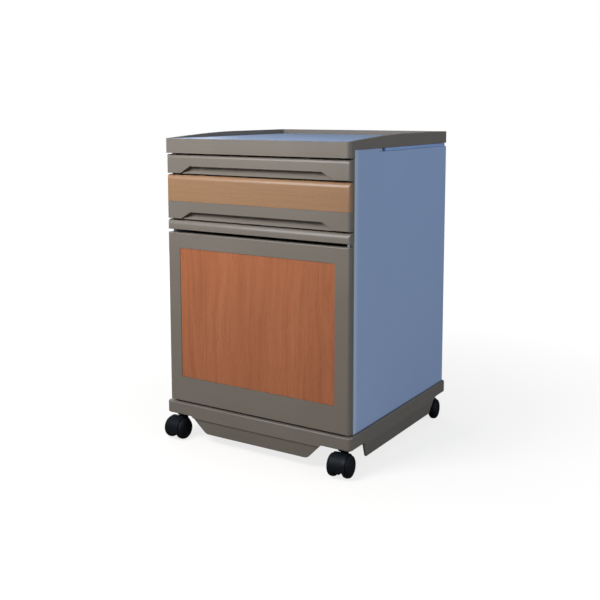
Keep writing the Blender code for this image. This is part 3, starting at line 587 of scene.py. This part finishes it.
def make_base_tray():
    """A band that is hollow below, with aprons, caster bosses and a grid of ribs."""
    half, height = BASE_HALF, BAND_TOP - BASE_Z
    outline = rectangle((-half, -half), (half, half), 0.010, 10)
    tray = place("base_tray_moulding", outline_mesh("base_tray_moulding", outline, height, "XY"),
                 "taupe_abs", "carcass", "base_tray", (0, 0, BASE_Z + height / 2))
    soften(tray, 0.0025, 5, 60)
    inner, roof = half - BASE_WALL, BAND_TOP - BASE_ROOF
    combine(tray, "DIFFERENCE", slab_cutter(
        "base_cavity", rectangle((-inner, -inner), (inner, inner), 0.005, 8), BASE_Z - CLEAR, roof))
    for side, turn in (("front", 0), ("side", 90), ("front", 180), ("side", 270)):
        combine(tray, "UNION", apron(side, turn), brow(side, turn), solver="MANIFOLD")
    for x in (-CASTER_X, CASTER_X):
        for y in (-CASTER_Y, CASTER_Y):
            combine(tray, "UNION", bore(f"boss_{x}_{y}", BOSS_R, BASE_Z + 0.0012,
                                        BAND_TOP - 0.002, (x, y)))
            combine(tray, "DIFFERENCE", bore(f"boss_bore_{x}_{y}", SOCKET_R, BASE_Z - CLEAR,
                                             BASE_Z + SOCKET_DEPTH, (x, y)))
    for index in range(-3, 4):
        near, far = index * RIB_PITCH - RIB_HALF, index * RIB_PITCH + RIB_HALF
        foot, head = BASE_Z + 0.0080, BAND_TOP - 0.0030
        combine(tray, "UNION",
                box_cutter(f"rib_0_{index}", (-RIB_REACH, near, foot), (RIB_REACH, far, head)),
                box_cutter(f"rib_90_{index}", (near, -RIB_REACH, foot), (far, RIB_REACH, head)),
                solver="MANIFOLD")
    combine(tray, "DIFFERENCE", bore("lower_pin_bore", HINGE_BORE, BAND_TOP - 0.008,
                                     BAND_TOP + CLEAR, HINGE))
    bake(tray, 30)
    final_edges(tray, 0.0007, 2, 35, 30)


# ---------------------------------------------------------------- fronts

def quarter_arc(x, y, radius):
    """Plan-view points round a corner at (x, y) of a front, from its side to its face or back."""
    inward = -1 if y < FRONT_Y[1] else 1
    points = []
    for step in range(ARC_STEPS + 1):
        angle = step / ARC_STEPS * math.pi / 2
        points.append((x - math.copysign(radius * (1 - math.cos(angle)), x),
                       y - inward * radius * (1 - math.sin(angle))))
    return points


def corner_cutters():
    """Cutters for the two rounded vertical corners that all the fronts share."""
    helpers = []
    ahead = FRONT_Y[0] - CLEAR
    for side, sign in (("left", -1), ("right", 1)):
        arc = quarter_arc(sign * FRONT_HALF, FRONT_Y[0], FRONT_CORNER)
        outside = sign * (FRONT_HALF + CLEAR)
        arc += [(arc[-1][0], ahead), (outside, ahead), (outside, arc[0][1])]
        helpers.append(slab_cutter(f"front_corner_{side}", arc, BAND_TOP, LIP_Z))
    return helpers


def front_piece(name, slot, body, node, z, top_radius):
    """A front between two heights, with a rounded top edge and rounded vertical corners."""
    section = rounded([(FRONT_Y[1], z[0], 0), (FRONT_Y[1], z[1], 0),
                       (FRONT_Y[0], z[1], top_radius), (FRONT_Y[0], z[0], 0.0015)])
    piece = place(name, outline_mesh(name, section, 2 * FRONT_HALF, "YZ"), slot, body, node)
    return combine(piece, "DIFFERENCE", *corner_cutters())


RECESS = (  # height above the front's lower edge, and depth behind its face
    (-0.0020, -0.0040), (-0.0020, 0.0016), (0.0000, 0.0026), (0.0022, 0.0048), (0.0042, 0.0076),
    (0.0064, 0.0104), (0.0090, 0.0126), (0.0118, 0.0139), (0.0146, 0.0143), (0.0170, 0.0142),
    (0.0183, 0.0134), (0.0186, 0.0110), (0.0180, 0.0056), (0.0170, 0.0014), (0.0170, -0.0040),
)
RECESS_HALF, RECESS_TAPER = 0.2045, 0.0285 / 0.017  # half-length at the foot, its loss per height


def finger_recess(name, low_z):
    """A cove along a front's lower edge, shorter and deeper towards its undercut top."""
    shape = bmesh.new()
    ends = []
    for sign in (-1, 1):
        ends.append([shape.verts.new((sign * (RECESS_HALF - RECESS_TAPER * height),
                                      FRONT_Y[0] + depth, low_z + height))
                     for height, depth in RECESS])
    shape.faces.new(ends[0])
    shape.faces.new(ends[1][::-1])
    for i in range(len(RECESS)):
        j = (i + 1) % len(RECESS)
        shape.faces.new((ends[0][j], ends[0][i], ends[1][i], ends[1][j]))
    bmesh.ops.recalc_face_normals(shape, faces=shape.faces)
    return linked(name, new_mesh(name, shape))


def make_fronts():
    """The fixed mid rail, the dining board's front, and the drawer's front with its fascia."""
    rail = front_piece("mid_rail_moulding", "taupe_abs", "carcass", "mid_rail", MID_RAIL_Z, 0.0125)
    combine(rail, "DIFFERENCE", bore("upper_pin_bore", HINGE_BORE, MID_RAIL_Z[0] - CLEAR,
                                     MID_RAIL_Z[0] + 0.0095, HINGE))
    board = front_piece("board_front_moulding", "taupe_abs", "dining_board", "board_front",
                        BOARD_Z, 0.0080)
    combine(board, "DIFFERENCE", finger_recess("board_recess", BOARD_Z[0]))
    drawer = front_piece("drawer_front_moulding", "taupe_abs", "drawer", "drawer_front",
                         DRAWER_Z, 0.0120)
    seat = FRONT_Y[0] + 0.0115  # the fascia's back
    combine(drawer, "DIFFERENCE", finger_recess("drawer_recess", DRAWER_Z[0]),
            box_cutter("fascia_seat", (-WIDE, -WIDE, FASCIA_Z), (WIDE, seat, HIGH)))
    fascia = front_piece("drawer_fascia_veneer", "maple_wood", "drawer", "drawer_fascia",
                         DRAWER_Z, 0.0120)
    combine(fascia, "INTERSECT",
            box_cutter("fascia_space", (-WIDE, -WIDE, FASCIA_Z + GAP), (WIDE, seat - GAP, HIGH)))
    for piece in (rail, board, drawer, fascia):
        bake(piece)
        final_edges(piece, 0.0006, 3, 30)


# ---------------------------------------------------------------- door

HINGE_CORNER = 0.0083  # radius of the door's rear corner, which turns about the hinge
WOOD_SEAT = 0.0097  # how far the frame reaches behind the wood panel
PIN_DEPTH = 0.0123
BEHIND_DOOR_Y = -0.2


def make_door():
    """A frame with a pocket for the wood panel, a window behind it and a pocket for the liner."""
    door = front_piece("door_frame_moulding", "taupe_abs", "door", "door_frame", DOOR_Z, 0.0030)
    beside, behind = FRONT_HALF + CLEAR, FRONT_Y[1] + CLEAR
    corner = [(beside, FRONT_Y[1] - HINGE_CORNER), (beside, behind),
              (FRONT_HALF - HINGE_CORNER, behind),
              *quarter_arc(FRONT_HALF, FRONT_Y[1], HINGE_CORNER)[::-1]]
    wood_low, wood_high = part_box("door_wood_panel")
    liner_low, liner_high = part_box("door_liner")
    pocket = rectangle((wood_low.x - GAP, wood_low.z - GAP),
                       (wood_high.x + GAP, wood_high.z + GAP), 0.0016, 5)
    combine(
        door, "DIFFERENCE",
        slab_cutter("hinge_corner", corner, DOOR_Z[0] - CLEAR, DOOR_Z[1] + CLEAR),
        linked("wood_pocket", outline_mesh("wood_pocket", pocket, 0.1, "XZ"),
               (0, wood_high.y + GAP - 0.05, 0)),
        box_cutter("door_window", (wood_low.x + WOOD_SEAT, -WIDE, wood_low.z + WOOD_SEAT),
                   (wood_high.x - WOOD_SEAT, BEHIND_DOOR_Y, wood_high.z - WOOD_SEAT)),
        box_cutter("liner_pocket", (liner_low.x - GAP, liner_low.y - GAP, liner_low.z - GAP),
                   (liner_high.x + GAP, BEHIND_DOOR_Y, liner_high.z + GAP)),
        bore("door_top_bore", HINGE_BORE, DOOR_Z[1] - PIN_DEPTH, DOOR_Z[1] + CLEAR, HINGE),
        bore("door_foot_bore", HINGE_BORE, DOOR_Z[0] - CLEAR, DOOR_Z[0] + PIN_DEPTH, HINGE))
    bake(door)
    final_edges(door, 0.0006, 3, 30)
    sheet = rectangle((wood_low.x, wood_low.z), (wood_high.x, wood_high.z), 0.0014, 5)
    wood = place("door_veneer_panel",
                 outline_mesh("door_veneer_panel", sheet, wood_high.y - wood_low.y, "XZ"),
                 "door_wood", "door", "door_wood_panel", (0, (wood_low.y + wood_high.y) / 2, 0))
    final_edges(wood, 0.0005, 3, 30)


# ---------------------------------------------------------------- panels, boards and trays inside

def edged_board(name, slot, body, node, corner=0.0, plane="XY"):
    """A board with the node's box and rounded corners in its plane."""
    low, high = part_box(node)
    u, v, w = {"XY": (0, 1, 2), "XZ": (0, 2, 1), "YZ": (1, 2, 0)}[plane]
    mesh = outline_mesh(name, rectangle((low[u], low[v]), (high[u], high[v]), corner, 6),
                        high[w] - low[w], plane)
    location = [0, 0, 0]
    location[w] = (low[w] + high[w]) / 2
    return place(name, mesh, slot, body, node, location)


BOARDS = (  # node, slot, body, edge rounding, corner radius and plane
    ("back_panel", "blue_laminate", "carcass", 0.0008, 0.0, "XZ"),
    ("deck_panel", "blue_laminate", "carcass", 0.0003, 0.0016, "XY"),
    ("divider_shelf", "grey_laminate", "carcass", 0.0008, 0.0, "XY"),
    ("inner_shelf", "grey_laminate", "carcass", 0.0012, 0.003, "XY"),
    ("dining_board", "grey_laminate", "dining_board", 0.0022, 0.006, "XY"),
)


def make_panels():
    """The side panels, the right one with a rebate for the towel arm, and the flat boards."""
    left, right = (edged_board(f"{side}_side_board", "blue_laminate", "carcass",
                               f"{side}_side_panel", plane="YZ") for side in ("left", "right"))
    combine(right, "DIFFERENCE",
            box_cutter("arm_rebate", (0.2355, -0.1125, REBATE_Z), (0.26, 0.26, 0.75)),
            bore("arm_pin_bore", ARM_BORE, REBATE_Z - 0.0105, REBATE_Z + CLEAR, ARM_PIVOT))
    bake(right)
    for side_board, width in ((left, 0.0015), (right, 0.0012)):
        # The side panels take the laminate with the painted highlight along the front edge.
        side_board.data.materials[0] = EDGE_LIT_BLUE
        final_edges(side_board, width)
    for node, slot, body, width, corner, plane in BOARDS:
        final_edges(edged_board(f"{node}_board", slot, body, node, corner, plane), width)


def make_drawer_box():
    """An open moulded tub."""
    low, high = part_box("drawer_box")
    outline = rectangle(low.xy, high.xy, 0.006, 6)
    tub = place("drawer_tub", outline_mesh("drawer_tub", outline, high.z - low.z, "XY"),
                "white_abs", "drawer", "drawer_box", (0, 0, (low.z + high.z) / 2))
    wall = 0.004
    inside = rectangle((low.x + wall, low.y + wall), (high.x - wall, high.y - wall), 0.010, 6)
    combine(tub, "DIFFERENCE", slab_cutter("drawer_space", inside, low.z + wall, high.z + wall))
    bake(tub)
    final_edges(tub, 0.0012)


GROOVE_DEPTH, GROOVE_HALF = 0.0006, 0.0010


def make_towel_arm():
    """A flat bar with a round rear end about its pivot and a shallow groove along its side."""
    low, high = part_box("towel_arm")
    middle_z, end = (low.z + high.z) / 2, (high.x - low.x) / 2 * 0.98
    outline = rounded([(low.x, low.y, 0.002), (high.x, low.y, 0.002),
                       (high.x, high.y, end), (low.x, high.y, end)], 8)
    arm = place("towel_arm_bar", outline_mesh("towel_arm_bar", outline, high.z - low.z, "XY"),
                "aluminium", "towel_arm", "towel_arm", (0, 0, middle_z))
    combine(arm, "DIFFERENCE", bore("arm_bore", ARM_BORE, 0.5, HIGH, ARM_PIVOT),
            box_cutter("arm_groove",
                       (high.x - GROOVE_DEPTH, low.y + 0.010, middle_z - GROOVE_HALF),
                       (high.x + 0.01, high.y - 0.014, middle_z + GROOVE_HALF)))
    bake(arm)
    final_edges(arm, 0.0008)


# ---------------------------------------------------------------- casters

TRAIL = 0.022  # from the stem's axis to the axle
WHEEL_R, WHEEL_INNER, WHEEL_OUTER = 0.025, 0.0062, 0.0284  # faces, from the hood's middle
AXLE_BORE = 0.0033
HOOD_R, HOOD_TOP, BOSS_FOOT = 0.0275, 0.0565, 0.0475
TURNS = {"front_left": 0, "front_right": 8, "rear_left": 176, "rear_right": 8}


def wheel_mesh():
    """A wheel: domed face with a hub cap and a ring groove, round tread, flat inner face."""
    outer, inner = WHEEL_OUTER, WHEEL_INNER
    profile = [(0, outer), (0.0040, outer - 0.00002), (0.0080, outer - 0.0001),
               (0.0088, outer - 0.0003), (0.0092, outer - 0.0008), (0.0098, outer - 0.0009),
               (0.0103, outer - 0.0005), (0.0130, outer - 0.0006), (0.0160, outer - 0.0011),
               (0.0185, outer - 0.0018),
               (0.0193, outer - 0.0024), (0.0196, outer - 0.0031), (0.0202, outer - 0.0032),
               (0.0207, outer - 0.0029), (0.0220, outer - 0.0038), (0.0233, outer - 0.0052),
               (0.0241, outer - 0.0067), (0.0247, outer - 0.0085), (0.02495, outer - 0.0100),
               (WHEEL_R, outer - 0.0112), (WHEEL_R, inner + 0.0090), (0.0249, inner + 0.0077),
               (0.0245, inner + 0.0062), (0.0238, inner + 0.0046), (0.0227, inner + 0.0033),
               (0.0214, inner + 0.0021), (0.0199, inner + 0.0012), (0.0183, inner + 0.0005),
               (0.0165, inner), (0.0120, inner), (0.0115, inner + 0.0012), (0.0070, inner + 0.0012),
               (0.0066, inner), (AXLE_BORE, inner), (AXLE_BORE, outer - 0.0044),
               (0, outer - 0.0044)]
    return turned_mesh("wheel", profile, 72, 28)


def hood_mesh():
    """A caster's body: a web between the wheels, a guard over them and a broad stem boss."""
    axle = Vector((-TRAIL, WHEEL_R))

    def on_arc(radius, degrees):
        angle = math.radians(degrees)
        return axle + radius * Vector((math.cos(angle), math.sin(angle)))

    half_web, guard_wall, guard_width = WHEEL_INNER - 0.0005, 0.0019, 0.034
    web = [on_arc(HOOD_R - 0.0003, degrees) for degrees in range(-20, 206, 5)]
    guard = [on_arc(HOOD_R, degrees) for degrees in range(0, 196, 5)]
    guard += [on_arc(HOOD_R - guard_wall, degrees) for degrees in range(195, -1, -5)]
    boss = [(0, HOOD_TOP), (0.0138, HOOD_TOP), (0.0146, HOOD_TOP - 0.0004),
            (0.0150, HOOD_TOP - 0.0012), (0.0150, BOSS_FOOT + 0.0045),
            (0.0095, BOSS_FOOT + 0.0020), (0.0095, BOSS_FOOT), (0, BOSS_FOOT)]
    body = linked("hood", outline_mesh("hood", web, 2 * half_web, "YZ"))
    combine(body, "UNION", linked("guard", outline_mesh("guard", guard, guard_width, "YZ")),
            box_cutter("stem_rib", (-half_web, -0.0100, 0.0200), (half_web, 0.0085, 0.0500)),
            linked("stem_boss", turned_mesh("stem_boss", boss)))
    axle_bore = pin_mesh("axle_bore", AXLE_BORE, -0.02, 0.02)
    axle_bore.transform(Matrix.Rotation(math.pi / 2, 4, "Y"))
    combine(body, "DIFFERENCE",
            bore("stem_bore", 0.0053, BOSS_FOOT, HOOD_TOP + CLEAR, (0, 0)),
            bore("spigot_bore", 0.0038, 0.0337, BOSS_FOOT + CLEAR, (0, 0)),
            linked("axle_bore", axle_bore, (0, -TRAIL, WHEEL_R)))
    bake(body, 30)
    final_edges(body, 0.0005, 3, 35, 30)
    mesh = mesh_of(body)
    bpy.data.objects.remove(body)
    return mesh


def stem_mesh():
    """A stem with a groove near its top and a thinner spigot in the hood."""
    return turned_mesh("stem", [
        (0, BASE_Z + 0.0190), (0.0038, BASE_Z + 0.0190), (0.0046, BASE_Z + 0.0187),
        (0.0050, BASE_Z + 0.0180), (0.0050, BASE_Z + 0.0150), (0.0046, BASE_Z + 0.0146),
        (0.0046, BASE_Z + 0.0134), (0.0050, BASE_Z + 0.0130), (0.0050, BOSS_FOOT + GAP),
        (0.0035, BOSS_FOOT + GAP), (0.0035, 0.0340), (0, 0.0340)])


def make_casters():
    """Four casters, each mesh turned to its caster's direction at rest."""
    stem, hood, wheel = stem_mesh(), hood_mesh(), wheel_mesh()
    for corner, turn in TURNS.items():
        swivel = Matrix.Rotation(math.radians(turn), 4, "Z")
        foot = Vector((CASTER_X if "right" in corner else -CASTER_X,
                       CASTER_Y if "rear" in corner else -CASTER_Y, 0))
        axle = foot + swivel @ Vector((0, -TRAIL, WHEEL_R))
        rows = [(part, mesh, slot, "swivel", f"caster_{part}", foot, swivel)
                for part, mesh, slot in (("stem", stem, "steel"), ("hood", hood, "black_nylon"))]
        for side, sign in (("left", -1), ("right", 1)):
            rows.append((f"{side}_tyre", wheel, "black_tyre", f"wheel_{side}", f"wheel_{side}",
                         axle, swivel @ Matrix.Rotation(sign * math.pi / 2, 4, "Y")))
        for part, mesh, slot, body, node, location, turned in rows:
            mesh = mesh.copy()
            mesh.transform(turned)
            place(f"{corner}_{part}", mesh, slot, f"{corner}_{body}", f"{corner}_{node}", location)


# ---------------------------------------------------------------- nodes that keep their own shape

def dress_nodes():
    """Each CAD node that still shows gets its slot's material and softened edges."""
    slots = {part["node"]: part["material_slot"] for part in frame["record"]["subparts"]}
    for name, node in frame["nodes"].items():
        node.data.materials.clear()
        node.data.materials.append(MATERIALS[slots[name]])
        if node.hide_render:
            continue
        node.modifiers.new("weld", "WELD").merge_threshold = 0.00002
        soften(node, 0.0003, 2, 40)
        shade(node.data, 35)


# ---------------------------------------------------------------- studio

WORLD_TINT, WORLD_STRENGTH = (0.88, 0.93, 1.0), 0.13  # the camera sees white instead
LIGHTS = (  # name, watts, size, colour, place and target
    ("key", 22.3, 0.7, (0.94, 0.955, 1.0), (-0.36, -1.22, 1.32), (0.0, -0.25, 0.55)),
    ("low_front", 4.0, 1.4, (1.0, 0.84, 0.66), (0.9, -2.2, 0.45), (0.0, -0.2, 0.30)),
    ("side", 38.0, 2.6, (0.78, 0.87, 1.0), (3.0, 0.3, 1.1), (0.2, 0.0, 0.38)),
    ("top", 1.5, 1.8, (1.0, 0.99, 0.98), (0.1, 0.4, 2.9), (0.0, 0.0, 0.5)),
    ("rear", 16.0, 1.8, (0.95, 0.97, 1.0), (-2.3, 1.3, 0.9), (0.0, 0.0, 0.40)),
)


def make_floor():
    """A pale sweep with a painted glow that only the camera sees, weaker near the cabinet: it looks
    white all round, and only the shade under the cabinet shows on it.
    """
    mesh = turned_mesh("floor", [(0, 0), (9.0, 0), (9.0, -0.02), (0, -0.02)], 64)
    floor = linked("floor", mesh, (0, 0, -0.0005))
    n = Nodes("floor")
    drift = n.noise(n.place(), 1.5, 3.0, 0.5)
    away = n.add("VectorMath", {0: n.coords.outputs["Object"]}, operation="LENGTH").outputs["Value"]
    # Painted light: the camera-only glow rises from 0.8 near the cabinet to full white 1.5 m out.
    painted_floor_glow = n.span(away, 0.30, 1.5, 0.80, 1.0)
    seen = n.add("LightPath").outputs["Is Camera Ray"]
    n.feed(n.shader.inputs["Emission Strength"], n.maths("MULTIPLY", painted_floor_glow, seen))
    n.shader.inputs["Emission Color"].default_value = (0.985, 0.985, 0.985, 1)
    tone = n.mix(n.span(drift, 0.3, 0.7), (0.24, 0.225, 0.205), (0.26, 0.243, 0.222))
    mesh.materials.append(n.finish(tone, 0.9, specular=0.1))


def make_lamps():
    for name, energy, size, colour, spot, target in LIGHTS:
        light = bpy.data.lights.new(name, "AREA")
        light.energy = energy
        light.size = size
        light.color = colour
        aim = Vector(target) - Vector(spot)
        linked(name, light, spot).rotation_euler = aim.to_track_quat("-Z", "Y").to_euler()


def make_world():
    """A faint cool light all round, seen by the camera as plain white."""
    world = bpy.data.worlds.new("studio")
    world.use_nodes = True
    tree = world.node_tree
    tree.nodes.clear()
    seen = tree.nodes.new("ShaderNodeBackground")
    seen.inputs["Color"].default_value = (1, 1, 1, 1)
    lit = tree.nodes.new("ShaderNodeBackground")
    lit.inputs["Color"].default_value = (*WORLD_TINT, 1)
    lit.inputs["Strength"].default_value = WORLD_STRENGTH
    path = tree.nodes.new("ShaderNodeLightPath")
    both = tree.nodes.new("ShaderNodeMixShader")
    output = tree.nodes.new("ShaderNodeOutputWorld")
    tree.links.new(path.outputs["Is Camera Ray"], both.inputs[0])
    tree.links.new(lit.outputs[0], both.inputs[1])
    tree.links.new(seen.outputs[0], both.inputs[2])
    tree.links.new(both.outputs[0], output.inputs["Surface"])
    bpy.context.scene.world = world
    bpy.context.scene.view_settings.view_transform = "Standard"


CAMERA_SPOT = (1.1448, -1.8693, 0.7823)
CAMERA_TURN = (32.161, 7.103, -0.070)  # degrees to the right, down, and of roll
SENSOR_MM, LENS_MM = 36, 54.474
SHIFT = (-0.000733, -0.13)


def make_camera():
    """The photograph's viewpoint, in front, to the right and level with the top."""
    data = bpy.data.cameras.new("camera")
    data.sensor_width, data.lens = SENSOR_MM, LENS_MM
    data.shift_x, data.shift_y = SHIFT
    azimuth, elevation, roll = (math.radians(angle) for angle in CAMERA_TURN)
    ahead = -Vector((math.sin(azimuth) * math.cos(elevation),
                     -math.cos(azimuth) * math.cos(elevation), math.sin(elevation)))
    camera = linked("camera", data, CAMERA_SPOT)
    camera.rotation_mode = "QUATERNION"
    camera.rotation_quaternion = (ahead.to_track_quat("-Z", "Y")
                                  @ Euler((0, 0, roll)).to_quaternion())
    bpy.context.scene.camera = camera


make_top_tray()
make_base_tray()
make_fronts()
make_door()
make_panels()
make_drawer_box()
make_towel_arm()
make_casters()
dress_nodes()
make_floor()
make_lamps()
make_world()
make_camera()

bpy.context.view_layer.update()
